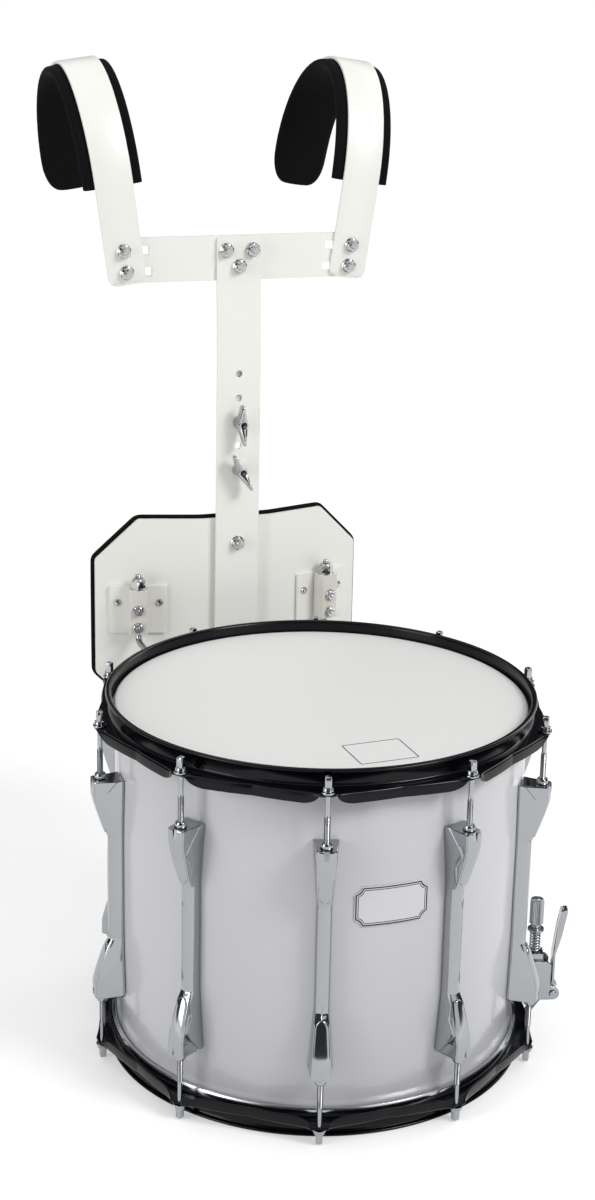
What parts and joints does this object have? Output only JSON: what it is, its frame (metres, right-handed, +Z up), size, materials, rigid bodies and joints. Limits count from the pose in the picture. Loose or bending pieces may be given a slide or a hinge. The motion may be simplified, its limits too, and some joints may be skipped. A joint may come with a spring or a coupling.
{
  "type": "marching side drum on a shoulder carrier",
  "caption": "White marching side drum with black eared hoops, full-length chrome lugs and a lever snare strainer, hooked on a white shoulder carrier with black pads.",
  "frame": {"origin": "under the middle of the bounding box, on the floor plane that the lower hoop's rim stands on", "axes": "+Z up along the drum's axis, -Y out of the drum's front where the badge is, +Y towards the wearer, +X to the right seen from the front"},
  "size_m": [0.4188, 0.6256, 0.83],
  "materials": {
    "white_gloss": "ply shell under a gloss white covering",
    "coated_film": "white coated head film in a silver flesh hoop",
    "powder_coat": "flat bar and plate under warm white powder coat",
    "black_enamel": "gloss black enamel on pressed steel",
    "chrome": "polished chrome plate",
    "lug_casting": "chrome plated light alloy casting",
    "zinc": "bright zinc plate",
    "black_foam": "closed-cell foam with a dull black skin",
    "strap": "pale woven plastic strap",
    "badge": "bare plate with a satin finish"
  },
  "bodies": {
    "drum": {"shell": "white_gloss", "top_head": "coated_film", "bottom_head": "coated_film", "top_hoop": "black_enamel", "bottom_hoop": "black_enamel", "tension_rod_top_01": "chrome", "tension_rod_top_02": "chrome", "tension_rod_top_03": "chrome", "tension_rod_top_04": "chrome", "tension_rod_top_05": "chrome", "tension_rod_top_06": "chrome", "tension_rod_top_07": "chrome", "tension_rod_top_08": "chrome", "tension_rod_top_09": "chrome", "tension_rod_top_10": "chrome", "tension_rod_bottom_01": "chrome", "tension_rod_bottom_02": "chrome", "tension_rod_bottom_03": "chrome", "tension_rod_bottom_04": "chrome", "tension_rod_bottom_05": "chrome", "tension_rod_bottom_06": "chrome", "tension_rod_bottom_07": "chrome", "tension_rod_bottom_08": "chrome", "tension_rod_bottom_09": "chrome", "tension_rod_bottom_10": "chrome", "lug_01": "lug_casting", "lug_02": "lug_casting", "lug_03": "lug_casting", "lug_04": "lug_casting", "lug_05": "lug_casting", "lug_06": "lug_casting", "lug_07": "lug_casting", "lug_08": "lug_casting", "lug_09": "lug_casting", "lug_10": "lug_casting", "badge_plate": "badge", "strainer_base": "chrome", "snare_wires": "zinc", "snare_strap_strainer": "strap", "snare_strap_butt": "strap", "butt_block": "chrome"},
    "strainer_lever": {"strainer_lever": "chrome"},
    "strainer_carriage": {"strainer_carriage": "chrome", "tension_spring": "zinc"},
    "tension_knob": {"tension_knob": "chrome"},
    "carrier": {"belly_plate": "powder_coat", "rear_upright": "powder_coat", "belly_pad": "black_foam", "bracket_left": "powder_coat", "bracket_right": "powder_coat"},
    "j_rod_left": {"j_rod_left": "zinc"},
    "j_rod_right": {"j_rod_right": "zinc"},
    "t_bar": {"spine": "powder_coat", "crossbar": "powder_coat", "shoulder_hook_left": "powder_coat", "shoulder_hook_right": "powder_coat", "shoulder_pad_left": "black_foam", "shoulder_pad_right": "black_foam"},
    "wing_nut_upper": {"wing_nut_upper": "zinc"},
    "wing_nut_lower": {"wing_nut_lower": "zinc"}
  },
  "joints": [
    {"name": "throw_off", "type": "hinge", "parent": "drum", "child": "strainer_lever", "pos_m": [0.19831, -0.18254, 0.039], "axis": [0.309, 0.9511, 0], "range_deg": [0, 80]},
    {"name": "carriage_drop", "type": "slide", "parent": "drum", "child": "strainer_carriage", "axis": [0, 0, -1], "range_m": [0, 0.008]},
    {"name": "tension_turn", "type": "hinge", "parent": "strainer_carriage", "child": "tension_knob", "pos_m": [0.18205, -0.17725, 0.11], "axis": [0, 0, 1], "continuous": true},
    {"name": "unhook", "type": "slide", "parent": "drum", "child": "carrier", "axis": [0, 0, -1], "range_m": [0, 0.012]},
    {"name": "j_rod_left_adjust", "type": "slide", "parent": "carrier", "child": "j_rod_left", "axis": [0, 0, -1], "range_m": [0, 0.006]},
    {"name": "j_rod_right_adjust", "type": "slide", "parent": "carrier", "child": "j_rod_right", "axis": [0, 0, -1], "range_m": [0, 0.006]},
    {"name": "height_adjust", "type": "slide", "parent": "carrier", "child": "t_bar", "axis": [0, 0, -1], "range_m": [0, 0.0455]},
    {"name": "wing_nut_upper_turn", "type": "hinge", "parent": "t_bar", "child": "wing_nut_upper", "pos_m": [-0.00503, 0.12623, 0.5029], "axis": [0, -1, 0], "continuous": true},
    {"name": "wing_nut_lower_turn", "type": "hinge", "parent": "t_bar", "child": "wing_nut_lower", "pos_m": [-0.00503, 0.12623, 0.4574], "axis": [0, -1, 0], "continuous": true}
  ],
  "couplings": [
    {"joint": "carriage_drop", "follows": "throw_off", "m_per_rad": 0.0057}
  ]
}
